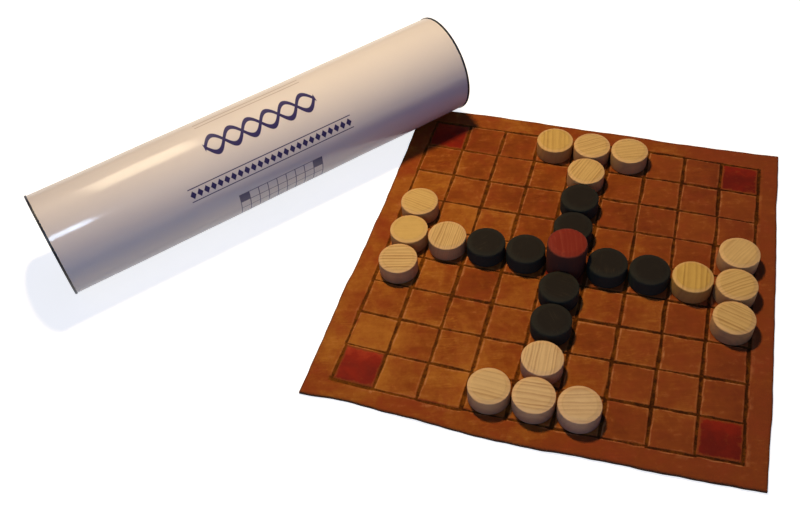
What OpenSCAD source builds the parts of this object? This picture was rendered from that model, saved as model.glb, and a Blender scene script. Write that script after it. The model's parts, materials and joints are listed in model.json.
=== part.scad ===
// Hnefatafl set: a tooled leather board, wooden men and their king set out for a game,
// and the capped card tube that holds the set, lying across the board's far left corner

/* [Men] */
// Diameter of every man
man_d = 25; // [16:0.5:40]
// Height of an attacker or a defender
man_h = 12; // [6:0.5:20]
// Height of the king
king_h = 24; // [10:0.5:40]
// Rounding of the pale men's edges
pale_edge = 0.6; // [0.2:0.1:2]
// Rounding of the stained men's edges
stained_edge = 1.2; // [0.2:0.1:2.5]
// Room between men on neighbouring squares
man_gap = 1; // [0.5:0.1:8]
// How far the near attackers stand towards the near edge of their squares
near_shift = 2.5; // [0:0.5:4]

/* [Board] */
// Thickness of the leather
leather = 2; // [1.2:0.1:4]
// Leather outside the outer lines
border = 14; // [8:0.5:40]
// Width of the tooled lines between files, at the surface
file_line_w = 2.4; // [0.8:0.1:3]
// Width of the tooled lines between ranks, at the surface
rank_line_w = 1.6; // [0.8:0.1:3]
// Width of a tooled line at its floor
line_floor = 0.8; // [0.2:0.1:0.8]
// Depth of a tooled line
line_d = 0.6; // [0.2:0.1:1]
// Depth that the red dye of the marked squares soaks into the leather
dye_d = 0.3; // [0.1:0.05:0.8]
// Undyed rim between the dye and the tooled lines
dye_rim = 0.5; // [0.2:0.1:4]

/* [Hand-cut outline] */
// Near left corner, off the true square
cut_near_left = [-4, 0]; // [-6:0.5:6]
// Near right corner, off the true square
cut_near_right = [-0.5, 2.5]; // [-6:0.5:6]
// Far right corner, off the true square
cut_far_right = [-5.5, 0]; // [-6:0.5:6]
// Far left corner, off the true square
cut_far_left = [0, 0]; // [-6:0.5:6]
// Outward bow of the near edge
bow_near = 3.5; // [-4:0.5:6]
// Outward bow of the right edge
bow_right = 0.5; // [-4:0.5:6]
// Outward bow of the far edge
bow_far = 1; // [-4:0.5:6]
// Outward bow of the left edge
bow_left = -1.5; // [-4:0.5:6]

/* [Tube] */
// Length of the card tube
tube_l = 300; // [200:1:450]
// Outside diameter of the card tube
tube_d = 69; // [40:1:110]
// Wall of the card tube
tube_wall = 2; // [1:0.1:5]
// Thickness of the paper wrap
wrap_t = 0.3; // [0.1:0.05:1]
// Paste between the card and the wrap
paste = 0.05; // [0.02:0.01:0.2]
// Angle between the tube and the board's near edge
tube_angle = 48.4; // [30:0.1:60]
// Reach of the tube past the board's corner
tube_past = 18; // [4:0.5:60]
// How far inside the corner's tip the tube crosses the board
tube_inside = 2; // [0.5:0.5:8]
// Clearance under the tube where it rests on the leather
seat_gap = 0.2; // [0.05:0.05:0.5]

/* [Caps] */
// Thickness of a cap's flange
flange_t = 1.5; // [0.8:0.1:4]
// Height of the flange over the paper wrap
flange_proud = 0.3; // [0.1:0.1:1]
// Rounding of the flange's rim
flange_edge = 0.4; // [0.1:0.1:0.7]
// Depth of the plug inside the tube
plug_l = 14; // [6:0.5:30]
// Wall of the plug
plug_wall = 1.5; // [0.8:0.1:3]
// Floor of the plug
plug_floor = 1.5; // [0.8:0.1:3]
// Chamfer at the plug's inner end
plug_lead = 1; // [0.2:0.1:1.4]
// Clearance between the plug and the tube
plug_gap = 0.15; // [0.05:0.05:0.5]

/* [Hidden] */
$fn = 96;
// Squares along a side, the opening places and the marked squares
squares = 9;
attackers = ["d1", "e1", "f1", "e2", "a4", "a5", "a6", "b5",
             "i4", "i5", "i6", "h5", "d9", "e9", "f9", "e8"];
near_attackers = ["d1", "e1", "f1", "e2"];
defenders = ["e3", "e4", "e6", "e7", "c5", "d5", "f5", "g5"];
throne = "e5";
marked = ["a1", "i1", "i9", "a9", throne];

// Board: one square holds one man and the room beside it
pitch = man_d + man_gap;
span = squares * pitch;
half_board = span / 2 + border;
near_left = [-half_board, -half_board] + cut_near_left;
near_right = [half_board, -half_board] + cut_near_right;
far_right = [half_board, half_board] + cut_far_right;
far_left = [-half_board, half_board] + cut_far_left;
// Straight steps along each bowed edge, and how far a cutter stands over the surface
edge_steps = 16;
over = 1;

// Tube: distances run along it from the left end of the card
wrap_r = tube_d / 2 + paste + wrap_t;
flange_r = wrap_r + flange_proud;
bore_r = tube_d / 2 - tube_wall;
plug_r = bore_r - plug_gap;
along = [cos(tube_angle), sin(tube_angle)];
across = [-sin(tube_angle), cos(tube_angle)];
// The left flange stands on the table and the far end rests on the leather's corner
seat_s = tube_l + flange_t - tube_past;
tilt = asin((leather + seat_gap - flange_proud) / (seat_s + flange_t));
seat = far_left - tube_inside * across;
tube_foot = seat - seat_s * cos(tilt) * along;
tube_axis_z = flange_r * cos(tilt) + flange_t * sin(tilt);

// Centre of a square such as "e5": files run along X and ranks along Y
function file_of(name) = ord(name[0]) - ord("a");
function rank_of(name) = ord(name[1]) - ord("1");
function centre_of(name) =
    ([file_of(name), rank_of(name)] - [1, 1] * (squares - 1) / 2) * pitch;

// Points of one edge from a to b, bowed outwards when the outline runs anticlockwise
function bowed(a, b, bow) =
    let (out = [b.y - a.y, a.x - b.x] / norm(b - a))
    [for (i = [0 : edge_steps - 1])
        let (t = i / edge_steps) a + (b - a) * t + out * bow * 4 * t * (1 - t)];

// The cutters of one set of tooled lines of width w, along Y with their mouths at z = 0,
// each ending at the far side of the crossing lines of width cross_w
module tooled_lines(w, cross_w) {
    for (i = [0 : squares])
        translate([(i - squares / 2) * pitch, 0, 0])
            rotate([90, 0, 0])
                linear_extrude(span + cross_w, center = true)
                    polygon([
                        [-w / 2, over], [-w / 2, 0], [-line_floor / 2, -line_d],
                        [line_floor / 2, -line_d], [w / 2, 0], [w / 2, over]
                    ]);
}

// The leather of the marked squares that the dye reaches, up to the height top
module dyed_leather(top) {
    side = [pitch - file_line_w, pitch - rank_line_w] - [1, 1] * 2 * dye_rim;
    for (square = marked)
        on_square(square)
            translate([-side.x / 2, -side.y / 2, -dye_d]) cube([side.x, side.y, dye_d + top]);
}

// A turned disc with rounded edges, standing on z = 0
module disc(h, edge) {
    rotate_extrude() {
        square([man_d / 2 - edge, h]);
        translate([0, edge]) square([man_d / 2, h - 2 * edge]);
        for (z = [edge, h - edge]) translate([man_d / 2 - edge, z]) circle(edge);
    }
}

// Puts a piece on a square of the board's upper face
module on_square(name, shift = [0, 0]) {
    place = centre_of(name) + shift;
    translate([place.x, place.y, leather]) children();
}

// Puts a piece that is drawn along +X from the left end of the card into the tube's place
module in_tube() {
    translate([tube_foot.x, tube_foot.y, tube_axis_z]) rotate([0, -tilt, tube_angle]) children();
}

// A sleeve along +X, the length of the card
module sleeve(inner_r, outer_r) {
    rotate([0, 90, 0]) difference() {
        cylinder(r = outer_r, h = tube_l);
        translate([0, 0, -over]) cylinder(r = inner_r, h = tube_l + 2 * over);
    }
}

// A push-in cap: its outer face at z = 0, its flange, and its cup-shaped plug along +Z
module cap() {
    depth = flange_t + plug_l;
    recess_r = plug_r - plug_wall;
    rotate_extrude() {
        polygon([
            [0, depth - plug_floor], [recess_r, depth - plug_floor], [recess_r, 0],
            [flange_r - flange_edge, 0], [flange_r - flange_edge, flange_t], [plug_r, flange_t],
            [plug_r, depth - plug_lead], [plug_r - plug_lead, depth], [0, depth]
        ]);
        translate([flange_r - flange_edge, flange_edge])
            square([flange_edge, flange_t - 2 * flange_edge]);
        for (z = [flange_edge, flange_t - flange_edge])
            translate([flange_r - flange_edge, z]) circle(flange_edge);
    }
}

// The leather sheet with its tooled grid
module board() {
    color("saddlebrown")
        difference() {
            linear_extrude(leather)
                polygon(concat(
                    bowed(near_left, near_right, bow_near), bowed(near_right, far_right, bow_right),
                    bowed(far_right, far_left, bow_far), bowed(far_left, near_left, bow_left)
                ));
            translate([0, 0, leather]) tooled_lines(file_line_w, rank_line_w);
            translate([0, 0, leather]) rotate(90) tooled_lines(rank_line_w, file_line_w);
            dyed_leather(over);
        }
}

// The red dyed leather of the corners and the throne
module dyed_squares() {
    color("firebrick") dyed_leather(0);
}

// An attacker of pale wood
module attacker(name) {
    near = len([for (other = near_attackers) if (other == name) other]) > 0;
    color("burlywood") on_square(name, shift = near ? [0, -near_shift] : [0, 0]) disc(man_h, pale_edge);
}

// A defender stained black
module defender(name) {
    color([0.1, 0.1, 0.1]) on_square(name) disc(man_h, stained_edge);
}

// The king, stained red, on the dyed throne
module king() {
    color("brown") on_square(throne) disc(king_h, stained_edge);
}

// The card tube
module tube_card() {
    color("tan") in_tube() sleeve(bore_r, tube_d / 2);
}

// The white paper pasted round the tube
module tube_wrap() {
    color("white") in_tube() sleeve(tube_d / 2 + paste, wrap_r);
}

// The cap at the tube's left end, on the table
module left_cap() {
    color([0.08, 0.08, 0.08]) in_tube() translate([-flange_t, 0, 0]) rotate([0, 90, 0]) cap();
}

// The cap at the tube's right end, past the board's corner
module right_cap() {
    color([0.08, 0.08, 0.08]) in_tube() translate([tube_l + flange_t, 0, 0]) rotate([0, -90, 0]) cap();
}

board();
dyed_squares();
for (square = attackers)
    attacker(square);
for (square = defenders)
    defender(square);
king();
tube_card();
tube_wrap();
left_cap();
right_cap();
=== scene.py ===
import json
import math
from functools import partial

import bpy
from mathutils import Matrix, Vector


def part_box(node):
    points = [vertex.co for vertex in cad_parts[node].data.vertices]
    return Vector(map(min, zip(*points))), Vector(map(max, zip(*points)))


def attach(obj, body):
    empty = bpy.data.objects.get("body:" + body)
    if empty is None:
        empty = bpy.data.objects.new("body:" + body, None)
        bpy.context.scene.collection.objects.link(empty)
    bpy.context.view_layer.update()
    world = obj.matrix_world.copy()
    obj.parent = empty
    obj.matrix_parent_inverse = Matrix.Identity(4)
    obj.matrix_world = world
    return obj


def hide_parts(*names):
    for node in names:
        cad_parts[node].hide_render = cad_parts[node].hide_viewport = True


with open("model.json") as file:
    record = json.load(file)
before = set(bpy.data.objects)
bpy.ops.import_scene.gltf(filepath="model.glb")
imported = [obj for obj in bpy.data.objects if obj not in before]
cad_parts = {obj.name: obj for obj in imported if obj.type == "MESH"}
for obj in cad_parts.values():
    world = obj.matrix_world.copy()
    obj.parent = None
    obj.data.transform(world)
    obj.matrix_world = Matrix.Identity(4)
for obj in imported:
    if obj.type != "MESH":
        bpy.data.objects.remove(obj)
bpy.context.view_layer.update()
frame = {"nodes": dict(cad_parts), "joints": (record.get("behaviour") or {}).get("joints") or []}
print("frame loaded:", len(frame["nodes"]), "nodes")

mergeReach = 1e-6  # points closer than this are one


# The node tree that values belong to
def treeOf(*values):
    return next(value.id_data for value in values if isinstance(value, bpy.types.NodeSocket))


# Plugs a socket or a plain value into an input
def plug(value, socket):
    if isinstance(value, bpy.types.NodeSocket):
        socket.id_data.links.new(value, socket)
    elif value is not None:
        socket.default_value = value


# Adds a node, sets its fields, then plugs its inputs in order and by name
def addNode(tree, kind, *values, inputs=None, **fields):
    node = tree.nodes.new(kind)
    for name, value in fields.items():
        setattr(node, name, value)
    for socket, value in zip(node.inputs, values):
        plug(value, socket)
    for name, value in (inputs or {}).items():
        plug(value, node.inputs[name])
    return node


def calc(operation, *values):
    return addNode(treeOf(*values), "ShaderNodeMath", *values, operation=operation).outputs[0]


plus, minus, times, over, timesPlus, larger, smaller, extent, fraction, sine, cosine = (
    partial(calc, operation) for operation in (
        "ADD", "SUBTRACT", "MULTIPLY", "DIVIDE", "MULTIPLY_ADD", "MAXIMUM", "MINIMUM",
        "ABSOLUTE", "FRACT", "SINE", "COSINE"))


def vecCalc(operation, *values):
    return addNode(treeOf(*values), "ShaderNodeVectorMath", *values, operation=operation).outputs[0]


def splitVec(value):
    return addNode(treeOf(value), "ShaderNodeSeparateXYZ", value).outputs[:]


def joinVec(x, y, z):
    return addNode(treeOf(x, y, z), "ShaderNodeCombineXYZ", x, y, z).outputs[0]


def turnFlat(value, angle):
    return addNode(treeOf(value), "ShaderNodeVectorRotate", inputs={"Vector": value, "Angle": angle},
                   rotation_type="Z_AXIS").outputs[0]


# A smooth step from low to high
def ease(value, low, high, start=0.0, end=1.0):
    return addNode(treeOf(value), "ShaderNodeMapRange", value, low, high, start, end,
                   interpolation_type="SMOOTHSTEP").outputs[0]


# A mask that is 1 between low and high
def band(value, low, high, soft):
    return times(ease(value, low - soft, low + soft), ease(value, high - soft, high + soft, 1.0, 0.0))


def cloudy(place, scale, detail=2.0, roughness=0.5, distortion=0.0, colour=False):
    node = addNode(treeOf(place), "ShaderNodeTexNoise", inputs={
        "Vector": place, "Scale": scale, "Detail": detail, "Roughness": roughness, "Distortion": distortion})
    return node.outputs[1 if colour else 0]


# A value of chance for each whole place
def dice(value, dimensions, output):
    return addNode(treeOf(value), "ShaderNodeTexWhiteNoise", noise_dimensions=dimensions,
                   inputs={"W" if dimensions == "1D" else "Vector": value}).outputs[output]


# Layers of (share, tone) over a colour, where a name stands for a tone of the piece
def overlay(piece, colour, *layers, blend="MIX"):
    for share, tone in layers:
        node = addNode(treeOf(share), "ShaderNodeMix", share, data_type="RGBA", blend_type=blend)
        for index, value in ((6, colour), (7, tone)):
            plug(piece[value] if isinstance(value, str) else value, node.inputs[index])
        colour = node.outputs[2]
    return colour


# Three tones, evenly spaced from 0 to 1
def toneRamp(factor, tones):
    node = addNode(treeOf(factor), "ShaderNodeValToRGB", factor)
    stops = node.color_ramp.elements
    stops[0].color, stops[1].color = tones[0], tones[2]
    stops.new(0.5).color = tones[1]
    return node.outputs[0]


# A group or a modifier tree: an input is given by its value, or by its kind where it has none
def makeTree(name, kind, inputs, outputs):
    tree = bpy.data.node_groups.new(name, kind + "NodeTree")
    for label, value in inputs.items():
        given = not isinstance(value, str)
        socketKind = {float: "Float", int: "Int"}[type(value)] if given else value
        socket = tree.interface.new_socket(label, in_out="INPUT", socket_type="NodeSocket" + socketKind)
        if given:
            socket.default_value = value
    for label, socketKind in outputs.items():
        tree.interface.new_socket(label, in_out="OUTPUT", socket_type="NodeSocket" + socketKind)
    if "Geometry" in outputs:
        tree.is_modifier = True
    return tree, tree.nodes.new("NodeGroupInput").outputs, tree.nodes.new("NodeGroupOutput").inputs


def useGroup(group, **inputs):
    tree = treeOf(*inputs.values())
    kind = "GeometryNodeGroup" if tree.type == "GEOMETRY" else "ShaderNodeGroup"
    return addNode(tree, kind, inputs=inputs, node_tree=group).outputs


# The next node on a line of geometry
def onward(geometry, kind, inputs, **fields):
    return addNode(geometry.id_data, "GeometryNode" + kind, inputs={"Geometry": geometry, **inputs},
                   **fields).outputs[0]


def storeValues(geometry, values, kind="FLOAT"):
    for name, value in values.items():
        geometry = onward(geometry, "StoreNamedAttribute", {"Name": name, "Value": value},
                          data_type=kind, domain="POINT")
    return geometry


def storedValue(tree, name, kind="FLOAT"):
    return addNode(tree, "GeometryNodeInputNamedAttribute", inputs={"Name": name}, data_type=kind).outputs[0]


def pointPlace(tree):
    return tree.nodes.new("GeometryNodeInputPosition").outputs[0]


# A flat grid grown into a closed slab
def thicken(grid, thickness):
    tree = grid.id_data
    upper = addNode(tree, "GeometryNodeExtrudeMesh", inputs={
        "Mesh": grid, "Offset": (0.0, 0.0, 1.0), "Offset Scale": thickness, "Individual": False})
    joined = tree.nodes.new("GeometryNodeJoinGeometry")
    for part in (upper, addNode(tree, "GeometryNodeFlipFaces", grid)):
        plug(part.outputs[0], joined.inputs[0])
    return onward(joined.outputs[0], "MergeByDistance", {"Distance": mergeReach})


# The end of a modifier tree: shaded, realized and with its material set
def finishShape(geometry, material, smooth=True):
    geometry = onward(geometry, "SetShadeSmooth", {"Shade Smooth": smooth})
    return onward(onward(geometry, "RealizeInstances", {}), "SetMaterial", {"Material": material})


def linear(red, green, blue):  # a colour as it looks on screen
    return tuple((c / 255 / 12.92 if c < 11 else ((c / 255 + 0.055) / 1.055) ** 2.4)
                 for c in (red, green, blue)) + (1.0,)


def newMaterial(name, specular=0.5, **sockets):
    material = bpy.data.materials.new(name)
    material.use_nodes = True
    shader = material.node_tree.nodes["Principled BSDF"].inputs
    for label, value in {"Specular IOR Level": specular, **sockets}.items():
        shader[label].default_value = value
    return material, material.node_tree, shader


# Colour and fine relief of a material, and its roughness where that varies
def dress(shader, colour, height, distance, strength, roughness=None):
    plug(colour, shader["Base Color"])
    plug(roughness, shader["Roughness"])
    plug(addNode(treeOf(height), "ShaderNodeBump", inputs={
        "Strength": strength, "Distance": distance, "Height": height}).outputs[0], shader["Normal"])


def objectPlace(tree):
    return tree.nodes.new("ShaderNodeTexCoord").outputs["Object"]


def readAttribute(tree, name, output="Fac"):
    return addNode(tree, "ShaderNodeAttribute", attribute_name=name).outputs[output]


def addObject(name, content):
    made = bpy.data.objects.new(name, content)
    bpy.context.scene.collection.objects.link(made)
    return made


# A plain mesh, smooth but for edges sharper than an angle in degrees, or flat without one
def makeMesh(name, points, faces, material=None, sharpFrom=None):
    mesh = bpy.data.meshes.new(name)
    mesh.from_pydata(points, [], faces)
    if material:
        mesh.materials.append(material)
    if sharpFrom:
        mesh.shade_smooth()
        mesh.set_sharp_from_angle(angle=math.radians(sharpFrom))
    return mesh


# A finished piece: at the origin, riding on its body and standing for its node
def addPiece(name, mesh, body, nodeNames):
    piece = addObject(name, mesh)
    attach(piece, body)
    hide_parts(*nodeNames)
    return piece


# Runs a modifier tree over a base mesh and keeps what it makes as a plain mesh
def growMesh(name, base, tree, values):
    maker = addObject(name + "Maker", base)
    modifier = maker.modifiers.new(tree.name, "NODES")
    modifier.node_group = tree
    for item in tree.interface.items_tree:
        if item.in_out == "INPUT" and item.name in values:
            modifier[item.identifier] = values[item.name]
    grown = bpy.data.meshes.new_from_object(maker.evaluated_get(bpy.context.evaluated_depsgraph_get()))
    maker.modifiers.remove(modifier)
    bpy.data.objects.remove(maker)
    bpy.data.meshes.remove(base)
    grown.name = name
    return grown


# Stands a camera or a lamp at a place, by the way behind it and about the way of its right side
def standAt(thing, place, behind, way):
    behind = Vector(behind).normalized()
    across = (Vector(way) - behind * behind.dot(Vector(way))).normalized()
    thing.matrix_world = (Matrix.Translation(place)
                          @ Matrix((across, behind.cross(across), behind)).transposed().to_4x4())


def nodeCentre(name):
    low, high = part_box(name)
    return (low + high) / 2


# Camera where the photograph was taken from
viewFrom = {
    "place": (0.03952, -0.39442, 0.47338),
    "forward": (-0.2347, 0.6091, -0.7576),
    "right": (0.9573, 0.2802, -0.0713),
    "lens": 42.47, "sensor": 36.0, "clip": (0.01, 20.0),
}
cameraData = bpy.data.cameras.new("camera")
cameraData.sensor_width, cameraData.lens = viewFrom["sensor"], viewFrom["lens"]
cameraData.clip_start, cameraData.clip_end = viewFrom["clip"]
camera = addObject("camera", cameraData)
bpy.context.scene.camera = camera
standAt(camera, viewFrom["place"], -Vector(viewFrom["forward"]), viewFrom["right"])

# Colour play of tanned hide: clouds, fine mottle and rubbed streaks, each around 0.5, and thin creases
hideMottle, inp, out = makeTree("hideMottle", "Shader", {
    "Place": "Vector", "Cloud Scale": 28.0, "Fine Scale": 210.0, "Streak Turn": -0.3},
    {"Cloud": "Float", "Fine": "Float", "Streak": "Float", "Wrinkle": "Float"})
plug(cloudy(inp["Place"], inp["Cloud Scale"], 4.0, 0.6, 0.6), out["Cloud"])
plug(cloudy(inp["Place"], inp["Fine Scale"], 5.0, 0.65, 0.4), out["Fine"])
turned = turnFlat(inp["Place"], inp["Streak Turn"])
plug(cloudy(vecCalc("MULTIPLY", turned, (30.0, 260.0, 30.0)), 1.0, 4.0, 0.6, 0.8), out["Streak"])
fold = cloudy(vecCalc("MULTIPLY", turned, (45.0, 300.0, 45.0)), 1.0, 2.0, 0.5, 1.5)
fold = ease(extent(minus(fold, 0.5)), 0.045, 0.0)
plug(times(fold, ease(cloudy(inp["Place"], 42.0), 0.48, 0.66)), out["Wrinkle"])  # in patches

# Pores and fine creases of hide, as a height from 0 to 1
hideGrain, inp, out = makeTree("hideGrain", "Shader", {
    "Place": "Vector", "Pore Scale": 1500.0, "Crease": 0.5}, {"Height": "Float"})
pebble = addNode(treeOf(inp["Place"]), "ShaderNodeTexVoronoi", feature="DISTANCE_TO_EDGE",
                 inputs={"Vector": inp["Place"], "Scale": inp["Pore Scale"]}).outputs[0]
crease = cloudy(inp["Place"], 420.0, 6.0, 0.7, 1.0)
plug(timesPlus(crease, inp["Crease"], times(ease(pebble, 0.0, 0.35), 0.5)), out["Height"])

# Sawn wood with its grain along X: growth rings about a pith beside the piece, and fibres
woodGrain, inp, out = makeTree("woodGrain", "Shader", {
    "Place": "Vector", "Seed": 0.0, "Ring Width": 0.002, "Fibre Scale": 2200.0},
    {"Ring": "Float", "Fibre": "Float", "Cloud": "Float"})
chance = splitVec(dice(inp["Seed"], "1D", "Color"))
own = vecCalc("ADD", inp["Place"], joinVec(inp["Seed"], times(inp["Seed"], 0.7), 0.0))
warp = cloudy(vecCalc("MULTIPLY", own, (35.0, 120.0, 120.0)), 1.0, colour=True)
warp = vecCalc("MULTIPLY", vecCalc("SUBTRACT", warp, (0.5, 0.5, 0.5)), (0.0, 0.0028, 0.0028))
y, z = splitVec(vecCalc("ADD", inp["Place"], warp))[1:]
away = plus(y, timesPlus(chance[0], 0.05, 0.03))
below = plus(z, timesPlus(chance[1], 0.03, -0.01))
reach = calc("SQRT", plus(times(away, away), times(below, below)))
years = over(reach, inp["Ring Width"])
years = timesPlus(cloudy(joinVec(inp["Seed"], 0.0, years), 0.6, 0.0), 1.6, years)  # uneven growth
growth = fraction(years)
late = times(ease(growth, 0.2, 0.84), ease(growth, 0.86, 1.0, 1.0, 0.0))
lean = dice(joinVec(calc("FLOOR", years), inp["Seed"], 0.0), "2D", "Value")
plug(times(late, timesPlus(lean, 0.7, 0.3)), out["Ring"])
plug(cloudy(vecCalc("MULTIPLY", own, (0.035, 1.0, 1.0)), inp["Fibre Scale"], 3.0, 0.6), out["Fibre"])
plug(cloudy(own, 130.0, 3.0, 0.55), out["Cloud"])
print("shader groups made")

# The leather board: a hand-cut sheet with tooled lines, pillowed squares and lifted edges
leatherBoard = {
    "squares": 9,
    "border": 0.014,
    "relief": {"File Line": 0.0021, "Rank Line": 0.0017, "Line Depth": 0.0006, "Lip Height": 0.00008,
               "Pillow": 0.00024, "Wander": 0.0005, "Lift": 0.0006,
               "Slip": 0.0007},  # each stroke of the tool starts a little off the last one
    "stray": (  # how the hand-drawn grid strays along x and y, in mm for each of the powers in gridStray
        (0.28, -0.06, 0.18, -1.63, -1.4, -0.23, -0.66, -0.09, 0.33, 0.12),
        (0.02, 0.55, 1.39, 1.03, -1.0, -0.42, -0.9, -1.66, -0.36, -0.23)),
    "strayEnd": 0.004,  # this far outside the grid its stray begins to die out, and the knife's edge has none
    "cornerCut": {"nearLeft": (-0.004, 0.0), "nearRight": (-0.0005, 0.0025),
                  "farRight": (-0.0055, 0.0), "farLeft": (0.0, 0.0)},
    "bow": {"near": 0.0035, "right": 0.0005, "far": 0.001, "left": -0.0015},
    "trim": {  # how far the knife ran outside the bowed line, in mm at every tenth
        "near": (-0.8, -3.2, -2.2, -1.4, -0.2, 0.2, -0.7, -0.7, 0.0, 0.3, 0.4),
        "right": (-1.2, -0.8, 0.1, 0.1, 0.0, 0.0, 0.1, 0.0, -0.5, 0.3, 0.2),
        "far": (0.0, 1.0, 1.3, 0.8, -0.1, -0.4, -0.2, -1.5, -1.2, -0.5, 0.4),
        "left": (0.5, 0.9, 1.2, 1.8, 0.6, 0.4, -0.2, 0.0, -0.4, -0.2, 0.0)},
    "edges": {  # axis, way out and the corners at both ends
        "near": (1, -1, "nearLeft", "nearRight"), "right": (0, 1, "nearRight", "farRight"),
        "far": (1, 1, "farLeft", "farRight"), "left": (0, -1, "nearLeft", "farLeft")},
    "ragged": {"near": 0.0001, "right": 0.00005, "far": 0.00008, "left": 0.00008},
    "raggedTurns": (31, 57, 123),
    "raggedStart": 0.7,
    "nearLine": (0.0004, 0.0008, 0.0012, 0.0016, 0.002, 0.0026, 0.0036),  # stations beside a tooled line
    "inSquare": (0.0068, 0.0108, 0.0152, 0.0192),
    "inBorder": (0.0021, 0.0045, 0.0066, 0.0086, 0.0104, 0.0119, 0.0129, 0.0136, 0.014),
    "rimWidth": 0.0016,
    "rimFall": 0.00035,
    "lipSideSlack": 0.0003,  # lips are paler on one side of a line, partly rubbed and partly a painted highlight: half the width of the change
    "marked": ((0, 0), (8, 0), (8, 8), (0, 8), (4, 4)),
    "dyeRim": 0.0005,  # between the middle of a line and the dye
    "dyeFade": 0.0026,  # the brush left the rim thin
    "skin": 0.00012,  # thickness of the dye
    "raise": 0.00003,  # how far it stands over the hide
    "play": {"Cloud": 1.25, "Streak": 0.4, "Fine": 0.65, "Wrinkle": 0.22},  # shares in the tan
    "playFrom": -0.67,
    "fade": (-1.5, -1.2, 6.0),  # the tan deepens to the right and, most at the left, towards the far edge
    "tans": (linear(101, 43, 14), linear(135, 69, 21), linear(169, 106, 37)),  # from dark to golden
    "ruddy": linear(140, 60, 27),
    "dusty": linear(130, 67, 36),
    "tool": linear(57, 28, 4),
    "toolPale": linear(112, 62, 10),
    # pale tone of scuffs, and of the lips, where it is partly a painted highlight
    "scuffAndLipHighlight": linear(190, 128, 78),
    "cut": linear(58, 36, 22),
    "flesh": linear(176, 132, 92),
    "fleshDark": linear(140, 98, 62),
    "dyes": (linear(103, 29, 16), linear(136, 37, 18), linear(178, 68, 34)),
    "thinDye": linear(132, 62, 25),
}
squares = leatherBoard["squares"]
pitch = (nodeCentre("attacker_i5").x - nodeCentre("attacker_a5").x) / (squares - 1)
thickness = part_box("board")[1].z
halfSpan = pitch * squares / 2
halfBoard = halfSpan + leatherBoard["border"]


# How far one hand-cut edge lies outside the true square, a share of the way along it
def edgeReach(side, start, end, along):
    trim = leatherBoard["trim"][side]
    tenths = along * (len(trim) - 1)
    step = min(int(tenths), len(trim) - 2)
    part = tenths - step
    part = part * part * (3 - 2 * part)
    knife = (trim[step] * (1 - part) + trim[step + 1] * part) / 1000
    wave = sum(math.sin(turn * (along + leatherBoard["raggedStart"])) for turn in leatherBoard["raggedTurns"])
    bow = leatherBoard["bow"][side] * 4 * along * (1 - along)
    return start + (end - start) * along + bow + knife + leatherBoard["ragged"][side] * wave


# Where a point of the true square lies on the hand-cut sheet
def handCut(x, y):
    place, cut = [x, y], leatherBoard["cornerCut"]
    for side, (axis, way, start, end) in leatherBoard["edges"].items():
        beyond = way * (x, y)[axis] - halfSpan
        if beyond > 0:
            along = ((x, y)[1 - axis] + halfBoard) / 2 / halfBoard
            reach = edgeReach(side, way * cut[start][axis], way * cut[end][axis], along)
            place[axis] += way * beyond / leatherBoard["border"] * reach
    return place


# How far the grid strays at a point, dying out across the border
def gridStray(x, y):
    u, v = (max(-1.0, min(1.0, place / halfSpan)) for place in (x, y))
    powers = (1, u, v, u * u, u * v, v * v, u ** 3, u * u * v, u * v * v, v ** 3)
    fade = (halfBoard - max(abs(x), abs(y))) / (leatherBoard["border"] - leatherBoard["strayEnd"])
    fade = max(0.0, min(1.0, fade)) / 1000
    return [fade * sum(weight * power for weight, power in zip(weights, powers))
            for weights in leatherBoard["stray"]] + [0.0]


# Lays quads over rows of x and y, with a rim value that is 1 at the outermost points
def layGrid(name, patches, rimWidth, bend):
    points, faces, rims, strays = [], [], [], []
    for xs, ys in patches:
        first, width = len(points), len(xs)
        for y in ys:
            for x in xs:
                points.append((*bend(x, y), 0.0))
                inside = min(x - xs[0], xs[-1] - x, y - ys[0], ys[-1] - y)
                rims.append(max(0.0, 1 - inside / rimWidth) ** 2)
                strays += gridStray(x, y)
        for row in range(len(ys) - 1):
            for corner in range(first + row * width, first + row * width + width - 1):
                faces.append((corner, corner + 1, corner + width + 1, corner + width))
    mesh = makeMesh(name, points, faces)
    mesh.attributes.new("rim", "FLOAT", "POINT").data.foreach_set("value", rims)
    mesh.attributes.new("stray", "FLOAT_VECTOR", "POINT").data.foreach_set("vector", strays)
    return mesh


# Tooling worked into the hide: in-plane wander, lifted edges and the relief of the upper face
reliefSizes = {"Pitch": pitch, "Squares": float(squares), "Half Board": halfBoard, **leatherBoard["relief"]}
tooledRelief, inp, out = makeTree("tooledRelief", "Geometry", {
    "Place": "Vector", "Rim": 0.0, "Stray": "Vector", **reliefSizes},
    {"Shift": "Vector", "Lift": "Float", "Relief": "Float", "Tooling": "Float", "Lip": "Float"})
place = inp["Place"]
x, y = splitVec(place)[:2]
sideX, sideY = extent(x), extent(y)
outerLine = times(times(inp["Pitch"], inp["Squares"]), 0.5)
press = ease(cloudy(place, 62.0, 3.0), 0.32, 0.68)  # how hard the tool was pressed
shake = timesPlus(cloudy(place, 120.0, 1.0), 0.0009, -0.00045)
cellOf = [timesPlus(inp["Squares"], 0.5, over(axis, inp["Pitch"])) for axis in (x, y)]
grooves, lips, pillows, inks = [], [], [], []
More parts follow.
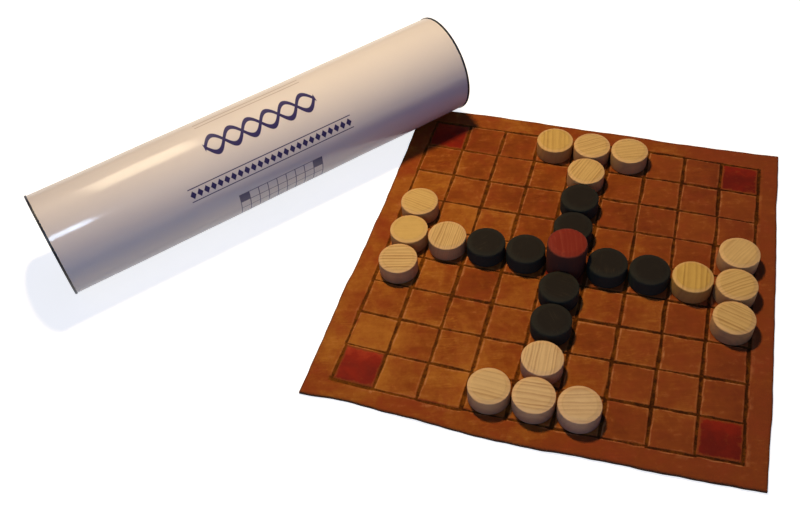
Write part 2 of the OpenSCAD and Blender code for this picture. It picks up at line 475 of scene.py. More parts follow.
for way, (across, width) in enumerate(((sideY, inp["File Line"]), (sideX, inp["Rank Line"]))):
    nearest = smaller(larger(calc("ROUND", cellOf[way]), 0.0), inp["Squares"])
    stroke = splitVec(dice(joinVec(nearest, calc("FLOOR", cellOf[1 - way]), 7.0 + way), "3D", "Color"))
    off = times(minus(cellOf[way], nearest), inp["Pitch"])
    off = plus(off, timesPlus(minus(stroke[0], 0.5), inp["Slip"], shake))
    gap = extent(off)
    wide = times(width, timesPlus(press, 0.5, timesPlus(stroke[1], 0.35, 0.55)))
    ends = minus(across, outerLine)
    if way == 1:  # the near line was pressed hardest where it runs out past the left corner
        hard = times(calc("LESS_THAN", nearest, 0.5), ease(x, -0.075, -0.117))
        wide = times(wide, timesPlus(hard, 1.3, 1.0))
        ends = timesPlus(hard, -0.0009, ends)
    ends = ease(ends, 0.0016, 0.0004)
    share = over(gap, wide)
    lip = ease(extent(minus(share, 0.8)), 0.26, 0.0)
    slack = leatherBoard["lipSideSlack"] * (1 - 2 * way)
    rubbedAndLit = ease(off, -slack, slack, 0.35, 1.0)  # lips rise and pale most to the right and the near side: partly rubbed, partly a painted highlight
    rubbedAndLit = times(rubbedAndLit, ease(minus(cellOf[way], inp["Squares"]), -0.01, 0.01, 1.0, 0.45))
    stain = times(ease(share, 0.74, 0.2), ends)  # runs out past the groove
    grooves.append(times(ease(share, 0.62, 0.2), ends))
    lips.append(times(lip, times(ends, rubbedAndLit)))
    pillows.append(times(ease(gap, 0.0075, 0.0), ends))
    inks.append(times(stain, timesPlus(stroke[2], 0.35, 0.65)))
tooling = larger(*grooves)
lip = times(larger(*lips), minus(1.0, tooling))
depth = times(inp["Line Depth"], timesPlus(press, 0.5, 0.55))
swell = timesPlus(cloudy(place, 60.0), 0.00012, -0.00016)
relief = timesPlus(lip, inp["Lip Height"], swell)
relief = minus(relief, times(larger(*pillows), inp["Pillow"]))
relief = minus(relief, times(tooling, depth))
plug(minus(relief, times(inp["Rim"], leatherBoard["rimFall"])), out["Relief"])
plug(larger(*inks), out["Tooling"])
plug(lip, out["Lip"])
wander = vecCalc("SUBTRACT", cloudy(place, 26.0, 1.0, colour=True), (0.5, 0.5, 0.5))
wander = vecCalc("MULTIPLY", wander, joinVec(inp["Wander"], inp["Wander"], 0.0))
plug(vecCalc("ADD", wander, inp["Stray"]), out["Shift"])
# The border lifts off the table, most along the near edge and not under the tube
outward = ease(larger(sideX, sideY), plus(outerLine, 0.0045), inp["Half Board"])
nearSide = ease(y, times(outerLine, -0.95), times(outerLine, -1.03), 0.35, 1.0)
underTube = ease(minus(y, x), 0.12, 0.19, 1.0, 0.0)
curl = times(times(outward, nearSide), times(underTube, inp["Lift"]))
plug(times(curl, ease(cloudy(place, 17.0, 1.0), 0.3, 0.7)), out["Lift"])


# The tooling at a place of a sheet, and the moving of the sheet by it
def workHide(tree, inp, place, **more):
    return useGroup(tooledRelief, Place=place, Stray=storedValue(tree, "stray", "FLOAT_VECTOR"),
                    **{label: inp[label] for label in reliefSizes}, **more)


def moveHide(sheet, worked, height):
    offset = vecCalc("ADD", worked["Shift"], joinVec(0.0, 0.0, height))
    return onward(sheet, "SetPosition", {"Offset": offset})


# The sheet itself: the laid grid gets its thickness, then its tooling
tooledSheet, inp, out = makeTree("tooledSheet", "Geometry", {
    "Geometry": "Geometry", "Thickness": thickness, **reliefSizes,
    "Face": "Material", "Cut Edge": "Material", "Flesh": "Material"}, {"Geometry": "Geometry"})
shaped = thicken(inp["Geometry"], inp["Thickness"])
place = pointPlace(tooledSheet)
worked = workHide(tooledSheet, inp, place, Rim=storedValue(tooledSheet, "rim"))
onTop = calc("GREATER_THAN", splitVec(place)[2], times(inp["Thickness"], 0.5))
shaped = storeValues(shaped, {"tooling": times(worked["Tooling"], onTop), "lip": times(worked["Lip"], onTop)})
height = timesPlus(worked["Relief"], onTop, worked["Lift"])
shaped = moveHide(shaped, worked, height)
facing = splitVec(tooledSheet.nodes.new("GeometryNodeInputNormal").outputs[0])[2]
onSide = calc("LESS_THAN", extent(facing), 0.3)
shaped = finishShape(shaped, inp["Face"], minus(1.0, onSide))
for label, selection in (("Cut Edge", onSide), ("Flesh", calc("LESS_THAN", facing, -0.3))):
    shaped = onward(shaped, "SetMaterial", {"Selection": selection, "Material": inp[label]})
plug(shaped, out["Geometry"])

# The dyed skin of the marked squares: a thin closed film that follows the tooled hide
dyedSkin, inp, out = makeTree("dyedSkin", "Geometry", {
    "Geometry": "Geometry", "Thickness": thickness, **reliefSizes, "Skin": leatherBoard["skin"],
    "Raise": leatherBoard["raise"], "Dye": "Material"}, {"Geometry": "Geometry"})
shaped = thicken(inp["Geometry"], inp["Skin"])
worked = workHide(dyedSkin, inp, joinVec(*splitVec(pointPlace(dyedSkin))[:2], inp["Thickness"]))
height = minus(plus(inp["Thickness"], inp["Raise"]), inp["Skin"])
height = plus(height, plus(worked["Relief"], worked["Lift"]))
shaped = moveHide(shaped, worked, height)
plug(finishShape(shaped, inp["Dye"]), out["Geometry"])

# Grain side of the hide: each square has taken the tan a little differently
hideFace, tree, shader = newMaterial("hideFace", 0.04)
place = objectPlace(tree)
mottle = useGroup(hideMottle, Place=place)
x, y = splitVec(place)[:2]
cells = [timesPlus(axis, 1 / pitch, squares / 2) for axis in (x, y)]
fromMiddle = [extent(minus(fraction(cell), 0.5)) for cell in cells]
inGrid = calc("LESS_THAN", larger(extent(x), extent(y)), halfSpan)
tone = dice(joinVec(*[calc("FLOOR", cell) for cell in cells], 3.0), "3D", "Value")
tone = times(minus(tone, 0.5), times(inGrid, 0.3))
bloom = timesPlus(mottle["Fine"], 0.16, larger(*fromMiddle))  # paler towards the lines
bloom = times(ease(bloom, 0.3, 0.58, -0.03, 0.08), inGrid)
shade = plus(plus(tone, bloom), leatherBoard["playFrom"])
for label, share in leatherBoard["play"].items():
    shade = timesPlus(mottle[label], share, shade)
acrossFade, alongFade, bothFade = leatherBoard["fade"]
shade = timesPlus(x, acrossFade, shade)
shade = timesPlus(y, times(inGrid, timesPlus(x, bothFade, alongFade)), shade)
ruddy = ease(cloudy(place, 70.0, 5.0, 0.7, 0.5), 0.38, 0.78, 0.0, 0.6)
ruddy = timesPlus(minus(1.0, inGrid), ease(mottle["Cloud"], 0.6, 0.36, 0.0, 0.45), ruddy)
ruddy = plus(ruddy, ease(x, 0.0, 0.13, 0.0, 0.12))
scuff = timesPlus(mottle["Fine"], 0.6, times(mottle["Streak"], 0.4))
# pale lips: partly rubbed, partly a painted highlight
lipRubAndHighlight = times(readAttribute(tree, "lip"), ease(mottle["Fine"], 0.4, 0.6, 0.12, 0.8))
burnish = times(readAttribute(tree, "rim"), ease(mottle["Fine"], 0.3, 0.6, 0.5, 0.9))
toolShare = timesPlus(x, -2.2, ease(mottle["Fine"], 0.35, 0.7))  # darkest to the right
toolTone = overlay(leatherBoard, "tool", (toolShare, "toolPale"))
torn = timesPlus(cloudy(place, 620.0, 3.0, 0.6), 1.8, 0.1)  # the tool skipped and tore a little
tooled = ease(times(readAttribute(tree, "tooling"), torn), 0.08, 0.7)
colour = overlay(leatherBoard, toneRamp(shade, leatherBoard["tans"]), (ruddy, "ruddy"),
                 (ease(x, -0.03, 0.13, 0.0, 0.35), "dusty"), (ease(scuff, 0.54, 0.72, 0.0, 0.18), "scuffAndLipHighlight"),
                 (lipRubAndHighlight, "scuffAndLipHighlight"), (burnish, "cut"), (tooled, toolTone))
grain = timesPlus(mottle["Wrinkle"], -0.8, useGroup(hideGrain, Place=place)["Height"])
dress(shader, colour, grain, 0.00012, 0.55, timesPlus(mottle["Fine"], 0.3, 0.5))

# The knife's edge of the hide, darkened by the tan and layered through its thickness
hideCut, tree, shader = newMaterial("hideCut", 0.1, Roughness=0.7)
layers = cloudy(vecCalc("MULTIPLY", objectPlace(tree), (180.0, 180.0, 2600.0)), 1.0, 3.0)
dress(shader, overlay(leatherBoard, "tool", (layers, "cut")), layers, 0.0002, 0.6)

# The suede flesh side underneath
hideFlesh, tree, shader = newMaterial("hideFlesh", Roughness=0.92, **{"Sheen Weight": 0.3})
place = objectPlace(tree)
mottle = useGroup(hideMottle, Place=place, **{"Cloud Scale": 18.0, "Fine Scale": 480.0})
shade = timesPlus(mottle["Cloud"], 0.6, times(mottle["Fine"], 0.4))
nap = plus(cloudy(place, 2600.0, 3.0, 0.7), useGroup(hideGrain, Place=place)["Height"])
dress(shader, overlay(leatherBoard, "fleshDark", (shade, "flesh")), nap, 0.0003, 0.7)

# Red dye, brushed on and buffed
redDye, tree, shader = newMaterial("redDye", 0.06)
place = objectPlace(tree)
mottle = useGroup(hideMottle, Place=place, **{"Cloud Scale": 70.0, "Streak Turn": 0.25})
x, y = splitVec(place)[:2]
farther = fraction(timesPlus(y, 1 / pitch, squares / 2))
shade = plus(mottle["Cloud"], timesPlus(mottle["Fine"], 0.5, -0.6))
shade = timesPlus(calc("POWER", farther, 3.0), 0.5, shade)  # lighter towards the far line: a painted highlight
shade = timesPlus(x, acrossFade, shade)
thin = timesPlus(cloudy(place, 260.0, 3.0, 0.6), 1.5, readAttribute(tree, "rim"))
colour = overlay(leatherBoard, toneRamp(shade, leatherBoard["dyes"]), (ease(thin, 0.85, 1.35), "thinDye"))
dress(shader, colour, useGroup(hideGrain, Place=place)["Height"], 0.0001, 0.5,
      timesPlus(mottle["Fine"], 0.25, 0.44))

# Stations across the board: close beside each tooled line, wide apart in the squares
steps = (0.0,) + leatherBoard["nearLine"]
stations = []
for index in range(squares):
    start = -halfSpan + index * pitch
    stations += [start + step for step in steps + leatherBoard["inSquare"]]
    stations += [start + pitch - step for step in steps]
for step in leatherBoard["nearLine"][:4] + leatherBoard["inBorder"]:
    stations += [-halfSpan - step, halfSpan + step]
stations = sorted(set(round(station, 7) for station in stations))
boardBlank = layGrid("boardBlank", [(stations, stations)], leatherBoard["rimWidth"], handCut)
boardMesh = growMesh("leatherBoard", boardBlank, tooledSheet,
                     {"Face": hideFace, "Cut Edge": hideCut, "Flesh": hideFlesh})
board = addPiece("leatherBoard", boardMesh, "board", ["board"])

patches = []
for square in leatherBoard["marked"]:
    starts = [-halfSpan + index * pitch + leatherBoard["dyeRim"] for index in square]
    dyed = pitch - 2 * leatherBoard["dyeRim"]
    patches.append([[station for station in stations if 0 < station - start < dyed] for start in starts])
dyeBlank = layGrid("dyeBlank", patches, leatherBoard["dyeFade"], lambda x, y: (x, y))
dyeMesh = growMesh("dyedSquares", dyeBlank, dyedSkin, {"Dye": redDye})
dyedSquares = addPiece("dyedSquares", dyeMesh, "board", ["dyed_squares"])
print("leather board made:", len(boardMesh.polygons), "faces")

# The men: turned discs, each cut from its own bit of wood
gameMen = {
    "segments": 96,
    "rows": (12, 4, 6, 5, 6, 16),  # of flat, shoulder, upper edge, side, lower edge and foot
    "forms": {"attacker": {"Edge": 0.0006, "Shoulder": 0.0021, "Crown": 0.0007},
              "defender": {"Edge": 0.0012, "Shoulder": 0.0028, "Crown": 0.0005},
              "king": {"Edge": 0.0012, "Shoulder": 0.0028, "Crown": 0.0006}},
    "grain": {  # turn from the near edge in degrees, ring width in mm, strength, tone from golden to pale
        "d1": (-3, 3.0, 0.65, 0.7), "e1": (4, 2.7, 0.8, 0.85),
        "f1": (15, 2.6, 0.8, 0.95), "e2": (91, 2.0, 0.75, 0.85),
        "a4": (14, 2.4, 0.95, 0.55), "a5": (13, 3.0, 0.08, 0.2),
        "a6": (-14, 2.0, 0.6, 0.3), "b5": (88, 1.3, 0.85, 0.5),
        "i4": (-20, 2.3, 0.95, 0.4), "i5": (35, 2.0, 0.7, 0.35),
        "i6": (61, 2.4, 0.5, 0.5), "h5": (91, 3.2, 0.8, -0.15),
        "d9": (100, 3.6, 0.65, 0.1), "e9": (32, 2.2, 0.75, 0.4),
        "f9": (21, 2.6, 0.7, 0.4), "e8": (71, 2.2, 0.85, 0.35),
        "king": (105, 2.6, 0.4, 0.0)},
    "stainedGrain": (2.2, 0.6, 0.0),
    "stainedTurn": 37,
    "seed": (1.37, 0.5),  # step from man to man and start
    "grainDepth": 0.00006,
    "goldLight": linear(205, 167, 80),
    "goldDark": linear(160, 119, 46),
    "paleLight": linear(219, 189, 135),
    "paleDark": linear(172, 130, 82),
    # a painted highlight on the shoulder ring of a top
    "rimHighlight": linear(222, 178, 124),
    # painted shade: the sides darkened and tinted mauve, and darker still towards the foot
    "sideShade": (0.9, 0.78, 0.86, 1.0),
    "footShade": (0.76, 0.72, 0.8, 1.0),
    "black": linear(36, 31, 22),
    # painted light: a lighter, greener tone for the sides than for the top
    "blackSideLight": linear(46, 51, 42),
    "blackWorn": linear(60, 52, 38),
    "red": linear(120, 40, 23),
    "redLight": linear(158, 78, 54),
    "redSide": linear(70, 60, 47),
}

# A grid bent round into a man: u turns about the axis, v runs down the profile from the top to the foot
turnedMan, inp, out = makeTree("turnedMan", "Geometry", {
    "Foot": "Vector", "Radius": 0.0125, "Height": 0.012, "Edge": 0.0006, "Shoulder": 0.003, "Crown": 0.0,
    "Segments": gameMen["segments"], "Grain Turn": 0.0, "Ring Width": 0.002, "Ring Strength": 0.5,
    "Tone": 0.5, "Seed": 0.0, "Wood": "Material"}, {"Geometry": "Geometry"})
rowCount = sum(gameMen["rows"])
shaped = addNode(turnedMan, "GeometryNodeMeshGrid", inputs={
    "Size X": 1.0, "Size Y": 1.0, "Vertices X": plus(inp["Segments"], 1.0),
    "Vertices Y": rowCount + 1}).outputs[0]
u, v = splitVec(vecCalc("ADD", pointPlace(turnedMan), (0.5, 0.5, 0.0)))[:2]
turn, step = times(u, 2 * math.pi), times(v, float(rowCount))
shares, first = [], 0.0  # how far a row is through each part of the profile
for count in gameMen["rows"]:
    shares.append(smaller(larger(over(minus(step, first), float(count)), 0.0), 1.0))
    first += count
flat, ring, rounding, side, turning, foot = shares
flat = calc("POWER", flat, 0.7)  # rows draw together towards the rim
upper, lower = times(rounding, math.pi / 2), times(turning, math.pi / 2)
flatRadius = minus(inp["Radius"], inp["Edge"])
bulge = minus(plus(sine(upper), cosine(lower)), 1.0)
radius = timesPlus(ring, inp["Shoulder"], times(minus(flatRadius, inp["Shoulder"]), flat))
radius = minus(timesPlus(bulge, inp["Edge"], radius), times(flatRadius, foot))
drop = plus(minus(1.0, cosine(upper)), sine(lower))
wall = minus(inp["Height"], times(inp["Edge"], 2.0))
level = minus(minus(inp["Height"], times(drop, inp["Edge"])), times(wall, side))
fall = times(calc("POWER", ring, 1.1), inp["Crown"])
level = minus(level, times(fall, minus(1.0, side)))
shoulderStart = extent(minus(step, float(gameMen["rows"][0])))
shaped = storeValues(shaped, {
    "onSide": smaller(rounding, minus(1.0, turning)), "shoulderRing": minus(ring, foot),
    "scribed": larger(minus(1.0, shoulderStart), 0.0), "lowSide": side})
lathed = joinVec(times(radius, cosine(turn)), times(radius, sine(turn)), level)
shaped = onward(shaped, "SetPosition", {"Position": lathed})
shaped = onward(shaped, "MergeByDistance", {"Distance": mergeReach})
alongGrain = turnFlat(pointPlace(turnedMan), times(inp["Grain Turn"], -1.0))
shaped = storeValues(shaped, {"grainAt": alongGrain}, "FLOAT_VECTOR")
shaped = storeValues(shaped, {"grainSeed": inp["Seed"], "ringWidth": inp["Ring Width"],
                              "ringStrength": inp["Ring Strength"], "woodTone": inp["Tone"]})
shaped = onward(shaped, "SetPosition", {"Offset": inp["Foot"]})
plug(finishShape(shaped, inp["Wood"]), out["Geometry"])


# The wood of a man, as its attributes give it, and how far a point is on its sawn side
def ownWood(tree):
    wood = useGroup(woodGrain, Place=readAttribute(tree, "grainAt", "Vector"),
                    Seed=readAttribute(tree, "grainSeed"), **{"Ring Width": readAttribute(tree, "ringWidth")})
    sawn = readAttribute(tree, "onSide")
    rings = times(wood["Ring"], readAttribute(tree, "ringStrength"))
    rings = times(rings, timesPlus(sawn, -0.7, 1.0))  # the saw blurs the rings
    return rings, wood["Fibre"], sawn, wood["Cloud"]


# Bare pale wood
paleWood, tree, shader = newMaterial("paleWood", 0.3)
rings, fibre, sawn, cloud = ownWood(tree)
stripe = timesPlus(rings, 0.95, timesPlus(fibre, 0.5, -0.25))
stripe = plus(stripe, timesPlus(cloud, 0.35, -0.05))
tone = readAttribute(tree, "woodTone")
light, dark = (overlay(gameMen, "gold" + part, (tone, "pale" + part)) for part in ("Light", "Dark"))
# a painted highlight: the shoulder ring of the top is paler
rimHighlightShare = times(times(readAttribute(tree, "shoulderRing"), 0.4), minus(1.0, sawn))
scribed = times(readAttribute(tree, "scribed"), ease(cloud, 0.35, 0.65, 0.04, 0.2))
# painted shade: darker towards the foot
footShadeShare = ease(readAttribute(tree, "lowSide"), 0.2, 1.0)
colour = overlay(gameMen, light, (stripe, dark), (rimHighlightShare, "rimHighlight"), (scribed, "goldDark"))
# painted shade on the sides: darkened, tinted mauve and darkest at the foot
colour = overlay(gameMen, colour, (sawn, "sideShade"), (footShadeShare, "footShade"), blend="MULTIPLY")
dress(shader, colour, timesPlus(rings, 0.4, fibre), gameMen["grainDepth"], 0.5, timesPlus(fibre, 0.2, 0.5))

# Wood stained black, worn a little where it is handled
blackWood, tree, shader = newMaterial("blackWood", 0.1)
rings, fibre, sawn, cloud = ownWood(tree)
worn = times(ease(fibre, 0.5, 0.8), ease(cloud, 0.4, 0.7))
# painted light: the sides and a little of the shoulder ring are lighter and greener than the top
overEdge = larger(sawn, times(readAttribute(tree, "shoulderRing"), 0.25))
colour = overlay(gameMen, "black", (overEdge, "blackSideLight"), (worn, "blackWorn"))
dress(shader, colour, timesPlus(rings, 0.5, fibre), gameMen["grainDepth"], 0.6, timesPlus(fibre, 0.25, 0.55))

# Wood stained red, with the grain showing through
redWood, tree, shader = newMaterial("redWood", 0.1)
rings, fibre, sawn = ownWood(tree)[:3]
stripe = timesPlus(rings, 0.5, timesPlus(fibre, 0.7, -0.35))
colour = overlay(gameMen, "red", (ease(stripe, 0.0, 0.7), "redLight"), (times(sawn, 0.7), "redSide"))
dress(shader, colour, timesPlus(rings, 0.4, fibre), gameMen["grainDepth"], 0.5, timesPlus(fibre, 0.2, 0.45))

woods = {"attacker": (paleWood, "pale_wood"), "defender": (blackWood, "black_wood"),
         "king": (redWood, "red_wood")}
menNames = sorted(name for name in frame["nodes"] if name.split("_")[0] in woods)
for number, name in enumerate(menNames):
    low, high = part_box(name)
    kind, square = name.split("_")[0], name.split("_")[-1]
    wood, slotName = woods[kind]
    turnBy, ringWidth, ringStrength, tone = gameMen["grain"].get(
        square, (gameMen["stainedTurn"] * number % 180, *gameMen["stainedGrain"]))
    manMesh = growMesh(name + "_turned", bpy.data.meshes.new("manBlank"), turnedMan, {
        "Foot": ((low.x + high.x) / 2, (low.y + high.y) / 2, low.z), "Radius": (high.x - low.x) / 2,
        "Height": high.z - low.z, **gameMen["forms"][kind], "Grain Turn": math.radians(turnBy),
        "Ring Width": ringWidth / 1000, "Ring Strength": ringStrength, "Tone": tone,
        "Seed": gameMen["seed"][0] * number + gameMen["seed"][1], "Wood": wood})
    addPiece(name + "_turned", manMesh, name, [name])
print("men turned:", len(menNames))

# The tube's own directions and sizes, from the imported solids
pull = next(joint for joint in frame["joints"] if joint["name"] == "right_cap_pull")
tubeAlong = Vector(pull["axis"]).normalized()
tubeSide = Vector((tubeAlong.y, -tubeAlong.x, 0.0)).normalized()  # level, towards the board
tubeTop = tubeSide.cross(tubeAlong)


def nodeCorners(name):
    return [vertex.co for vertex in frame["nodes"][name].data.vertices]


# Least and greatest radius of a round node about the tube's axis
def roundRadii(name):
    radii = [(corner - tubeMiddle).cross(tubeAlong).length for corner in nodeCorners(name)]
    return min(radii), max(radii)


tubeMiddle = Vector()
for way in (tubeAlong, tubeSide, tubeTop):
    reaches = [corner.dot(way) for corner in nodeCorners("tube_card")]
    tubeMiddle += way * (min(reaches) + max(reaches)) / 2
    if way is tubeAlong:
        tubeLength = max(reaches) - min(reaches)
tubeStart = tubeMiddle - tubeAlong * tubeLength / 2
boreRadius, cardRadius = roundRadii("tube_card")
wrapInner, wrapOuter = roundRadii("tube_wrap")
print("tube measured: length", round(tubeLength, 4), "radius", round(wrapOuter, 5))


# A point of the tube, by distance from its left end, angle up from the board side and radius
def tubePoint(along, angle, radius):
    return tubeStart + tubeAlong * along + (tubeSide * math.cos(angle) + tubeTop * math.sin(angle)) * radius


# A closed sleeve with UVs in metres: u along it, v round it from the board side
def makeSleeve(name, inner, outer, material, ripple=lambda along, angle: 0.0, segments=128, rings=60):
    def place(ring, spoke):  # distance along and angle round
        return tubeLength * ring / rings, 2 * math.pi * spoke / segments - math.pi

    def corner(layer, ring, spoke):
        return (layer * (rings + 1) + ring) * segments + spoke % segments

    points, loops, uvs = [], [], []
    for layer, radius in enumerate((outer, inner)):
        for ring in range(rings + 1):
            for spoke in range(segments):
                where = place(ring, spoke)
                points.append(tubePoint(*where, radius + (0.0 if layer else ripple(*where))))
    for ring in range(rings):
        for spoke in range(segments):
            loop = [(ring, spoke), (ring, spoke + 1), (ring + 1, spoke + 1), (ring + 1, spoke)]
            loops += [[(0, *where) for where in loop], [(1, *where) for where in reversed(loop)]]
    for ring, order in ((0, 1), (rings, -1)):
        for spoke in range(segments):
            loop = ((0, ring, spoke + 1), (0, ring, spoke), (1, ring, spoke), (1, ring, spoke + 1))
            loops.append(loop[::order])
    for loop in loops:
        for layer, ring, spoke in loop:
            along, angle = place(ring, spoke)
            uvs += (along, angle * outer)
    faces = [[corner(*where) for where in loop] for loop in loops]
    mesh = makeMesh(name, points, faces, material, sharpFrom=35)
    mesh.uv_layers.new(name="sleeveUV").data.foreach_set("uv", uvs)
    return mesh


def sleevePlace(tree):
    return splitVec(addNode(tree, "ShaderNodeUVMap", uv_map="sleeveUV").outputs[0])[:2]


# The tube's glossy paper wrap and the plain printing on it
paperWrap = {
    "ripple": {"size": 0.00006, "waves": ((37, 2.0, 0.0), (91, -3.0, 1.3)), "sink": 0.00012},
    "paper": linear(221, 216, 211),
    "paperShade": linear(209, 203, 200),
    "ink": linear(36, 26, 88),
    "faintInk": linear(150, 128, 118),
    "plait": {"from": 0.111, "to": 0.191, "at": 0.0415, "swing": 0.0064, "bights": 3, "strand": 0.0018,
              "over": 0.0008},
    "rules": {"from": 0.088, "to": 0.208, "at": (0.0122, 0.0208), "half": 0.0003},
    "lozenges": {"at": 0.0165, "half": 0.0028, "pitch": 0.0048, "slim": 2.3},
    "faintRules": {"from": 0.112, "to": 0.19, "at": (0.0605, 0.0645), "half": 0.0004},
    "ruleEnd": 0.0002,
    "seam": -0.08,
    "diagram": {"from": 0.118, "top": 0.0015, "cell": 0.0069, "squares": 9, "half": 0.00028},
}
wrapPaper, tree, shader = newMaterial(
    "wrapPaper", 0.15, Roughness=0.42, **{"Coat Weight": 0.38, "Coat Roughness": 0.09})
u, v = sleevePlace(tree)
plait = paperWrap["plait"]
swing = sine(times(minus(u, plait["from"]), 2 * math.pi * plait["bights"] / (plait["to"] - plait["from"])))
strands = []
for way in (1.0, -1.0):
    off = extent(timesPlus(swing, -way * plait["swing"], minus(v, plait["at"])))
    strands.append(ease(off, plait["strand"] * 1.15, plait["strand"] * 0.85))
ink = times(larger(*strands), band(u, plait["from"] - plait["over"], plait["to"] + plait["over"], 0.00015))


def printRules(rules):  # thin lines along the tube
    lines = [ease(extent(minus(v, at)), rules["half"] * 1.3, rules["half"] * 0.8) for at in rules["at"]]
    return times(larger(*lines), band(u, rules["from"], rules["to"], paperWrap["ruleEnd"]))


rules, lozenges = paperWrap["rules"], paperWrap["lozenges"]
slot = fraction(over(minus(u, rules["from"]), lozenges["pitch"]))
slant = over(extent(minus(v, lozenges["at"])), lozenges["half"])
slant = plus(times(extent(minus(slot, 0.5)), lozenges["slim"]), slant)
row = times(ease(slant, 1.06, 0.94), band(u, rules["from"], rules["to"], paperWrap["ruleEnd"]))
ink = larger(larger(ink, printRules(rules)), row)
diagram = paperWrap["diagram"]
cell, across = diagram["cell"], diagram["squares"]
half = diagram["half"] / cell
lines, corners, middles, insides = [], [], [], []
for axis in (timesPlus(u, 1 / cell, -diagram["from"] / cell), timesPlus(v, -1 / cell, diagram["top"] / cell)):
    lines.append(ease(extent(minus(axis, calc("ROUND", axis))), half * 1.4, half * 0.7))
    fromMiddle = extent(minus(axis, across / 2))
    corners.append(band(fromMiddle, across / 2 - 1, across / 2, 0.03))
    middles.append(ease(fromMiddle, 0.53, 0.47))
    insides.append(band(axis, -0.04, across + 0.04, 0.02))
marked = larger(times(*corners), times(*middles))
ink = larger(ink, times(larger(larger(*lines), marked), times(*insides)))
flatPlace = joinVec(u, v, 0.0)
overlap = ease(extent(minus(v, paperWrap["seam"])), 0.0005, 0.0001)
colour = overlay(paperWrap, "paper", (times(cloudy(flatPlace, 24.0, 3.0), 0.5), "paperShade"),
                 (times(printRules(paperWrap["faintRules"]), 0.6), "faintInk"),
                 (times(overlap, 0.5), "faintInk"), (times(ink, 0.97), "ink"))
dress(shader, colour, cloudy(flatPlace, 900.0, 4.0), 0.00003, 0.35)


def wrapRipple(along, angle):  # pasted paper is never quite even
    ripple = paperWrap["ripple"]
    wave = sum(math.sin(far * along + about * angle + start) for far, about, start in ripple["waves"])
    return ripple["size"] * wave - ripple["sink"]


wrapMesh = makeSleeve("paperWrap", wrapInner, wrapOuter, wrapPaper, wrapRipple)
addPiece("paperWrap", wrapMesh, "tube", ["tube_wrap"])

# The card tube, wound in a spiral
cardTube = {"winding": 0.07, "slope": 0.32, "light": linear(190, 152, 108), "dark": linear(150, 112, 74),
            "seam": linear(96, 68, 42)}
woundCard, tree, shader = newMaterial("woundCard", Roughness=0.85)
u, v = sleevePlace(tree)
spiral = fraction(over(timesPlus(v, cardTube["slope"], u), cardTube["winding"]))
seam = ease(extent(minus(spiral, 0.5)), 0.012, 0.004)
fibres = cloudy(vecCalc("MULTIPLY", joinVec(u, v, 0.0), (300.0, 900.0, 1.0)), 1.0, 4.0, 0.65)
colour = overlay(cardTube, "dark", (fibres, "light"), (times(seam, 0.7), "seam"))
dress(shader, colour, minus(fibres, seam), 0.0002, 0.6)
cardMesh = makeSleeve("cardTube", boreRadius, cardRadius, woundCard)
addPiece("cardTube", cardMesh, "tube", ["tube_card"])

# The push-in caps: moulded cups with a thin flange
pushCap = {
    "flange": 0.0015, "flangeEdge": 0.0004, "plug": 0.014, "plugWall": 0.0015, "plugFloor": 0.0015,
    "lead": 0.001, "clearance": 0.00015, "fillet": 0.0012,
    "gate": ((0.0004, 0.0), (0.0004, 0.0016), (0.0, 0.002)),  # height and radius of the gate mark
    "mouth": ((0.0004, 0.0001), (0.0001, 0.0002), (0.0, 0.0005)),  # depth and widening of the recess
    "segments": 128,
    "arcSteps": 5,
    "black": linear(24, 24, 25),
    "scuffed": linear(40, 40, 42),
}
capPlastic, tree, shader = newMaterial("capPlastic")
place = objectPlace(tree)
scuff = cloudy(place, 160.0, 5.0, 0.7)
colour = overlay(pushCap, "black", (ease(scuff, 0.5, 0.8), "scuffed"))
dress(shader, colour, cloudy(place, 2400.0, 3.0), 0.00005, 0.3, timesPlus(scuff, 0.25, 0.3))


# Turns a profile of (distance in from the outer face, radius) about the tube's axis
def turnCap(name, end, inward, profile):
    points, faces, rows = [], [], []
    segments = pushCap["segments"]
    for depth, radius in profile:
        spokes = segments if radius > mergeReach else 1
        rows.append([len(points) + spoke % spokes for spoke in range(segments + 1)])
        points += [tubePoint(end + inward * depth, 2 * math.pi * spoke / segments, radius)
                   for spoke in range(spokes)]
    for row, nextRow in zip(rows, rows[1:]):
        for spoke in range(segments):
            loop = [row[spoke], row[spoke + 1], nextRow[spoke + 1], nextRow[spoke]]
            faces.append(list(dict.fromkeys(loop))[::inward])
    return makeMesh(name, points, faces, capPlastic, sharpFrom=40)


flange, edge, fillet = pushCap["flange"], pushCap["flangeEdge"], pushCap["fillet"]
plugRadius = boreRadius - pushCap["clearance"]
recess = plugRadius - pushCap["plugWall"]
plugEnd = flange + pushCap["plug"]
floor = plugEnd - pushCap["plugFloor"]
quarter = [step / pushCap["arcSteps"] * math.pi / 2 for step in range(pushCap["arcSteps"] + 1)]
arc = [(1 - math.cos(angle), 1 - math.sin(angle)) for angle in quarter]
for capName, end, inward in (("left_cap", -flange, 1), ("right_cap", tubeLength + flange, -1)):
    rim = roundRadii(capName)[1]
    profile = [(floor - height, radius) for height, radius in pushCap["gate"]] + [(floor, recess - fillet)]
    profile += [(floor - fillet * far, recess - fillet * near) for far, near in arc[1:]]
    profile += [(depth, recess + wider) for depth, wider in pushCap["mouth"]]
    profile += [(edge * far, rim - edge * near) for far, near in arc]
    profile += [(flange - edge * near, rim - edge * far) for far, near in arc]
    profile += [(flange, plugRadius), (plugEnd - pushCap["lead"], plugRadius),
                (plugEnd, plugRadius - pushCap["lead"]), (plugEnd, 0.0)]
    capMesh = turnCap(capName + "_moulded", end, inward, profile)
    addPiece(capName + "_moulded", capMesh, capName, [capName])
print("tube and caps made")

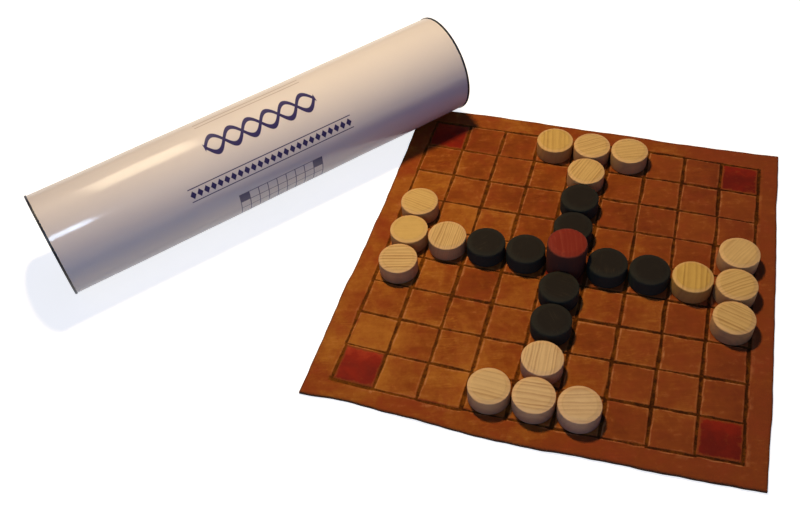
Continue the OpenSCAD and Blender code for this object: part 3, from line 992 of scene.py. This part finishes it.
# Floor, world and soft light: lamps with gloss show only as reflections, the others only as light
studio = {
    "floor": linear(200, 199, 197), "floorHalf": 3, "floorShine": 0.8,
    "sky": (0.45, 0.68, 1.6, 1.0), "skyStrength": 0.13, "white": (1.0, 1.0, 1.0, 1.0),
    "lamps": {  # way is that of the longer side, spread is in degrees
        "key": {"power": 4.15, "colour": (1.0, 0.75, 0.41), "gloss": False,
                "size": (0.075, 0.05), "spread": 180, "way": (0.748, -0.664, 0.0),
                "place": (-0.2, 0.14, 0.66), "aim": (-0.05, 0.03, 0.0)},
        "back": {"power": 2.3, "colour": (1.0, 0.84, 0.58), "gloss": True,
                 "size": (0.55, 0.2), "spread": 120, "way": (0.748, -0.664, 0.0),
                 "place": (-0.624, 0.428, 1.114), "aim": (-0.265, -0.032, 0.07)},
        "fill": {"power": 0.9, "colour": (0.5, 0.75, 1.35), "gloss": False,
                 "size": (0.3, 0.2), "spread": 180, "way": (1.0, 0.0, 0.0),
                 "place": (-0.15, -0.8, 0.5), "aim": (0.0, 0.0, 0.0)},
        "glint": {"power": 1.8, "colour": (0.62, 0.78, 1.0), "gloss": True,
                  "size": (0.14, 0.09), "spread": 180, "way": (0.748, -0.664, 0.0),
                  "place": (0.026, -0.377, 0.7), "aim": (0.0, 0.0, 0.0)}},
}
floorPaint, tree, shader = newMaterial(
    "floorPaint", 0.1, Roughness=0.9, **{"Base Color": studio["floor"], "Emission Color": studio["white"]})
rays = tree.nodes.new("ShaderNodeLightPath").outputs
seen = larger(rays["Is Camera Ray"], larger(rays["Is Glossy Ray"], rays["Is Transmission Ray"]))
plug(times(seen, studio["floorShine"]), shader["Emission Strength"])
half = studio["floorHalf"]
floorCorners = [(-half, -half, 0), (half, -half, 0), (half, half, 0), (-half, half, 0)]
floorObject = addObject("floor", makeMesh("floor", floorCorners, [(0, 1, 2, 3)], floorPaint))

world = bpy.data.worlds.new("studioWorld")
bpy.context.scene.world = world
world.use_nodes = True
tree = world.node_tree
tree.nodes.clear()
rays = tree.nodes.new("ShaderNodeLightPath").outputs
soft = addNode(tree, "ShaderNodeBackground", studio["sky"], studio["skyStrength"]).outputs[0]
white = addNode(tree, "ShaderNodeBackground", studio["white"], 1.0).outputs[0]
picked = addNode(tree, "ShaderNodeMixShader", rays["Is Camera Ray"], soft, white).outputs[0]
plug(picked, tree.nodes.new("ShaderNodeOutputWorld").inputs[0])

for name, lamp in studio["lamps"].items():
    lampData = bpy.data.lights.new(name, "AREA")
    lampData.shape = "RECTANGLE"
    lampData.energy, lampData.color = lamp["power"], lamp["colour"]
    lampData.size, lampData.size_y = lamp["size"]
    lampData.spread = math.radians(lamp["spread"])
    light = addObject(name, lampData)
    standAt(light, lamp["place"], Vector(lamp["place"]) - Vector(lamp["aim"]), lamp["way"])
    light.visible_glossy, light.visible_diffuse = lamp["gloss"], not lamp["gloss"]
bpy.context.scene.view_settings.view_transform = "Standard"
print("studio lit")

bpy.context.view_layer.update()
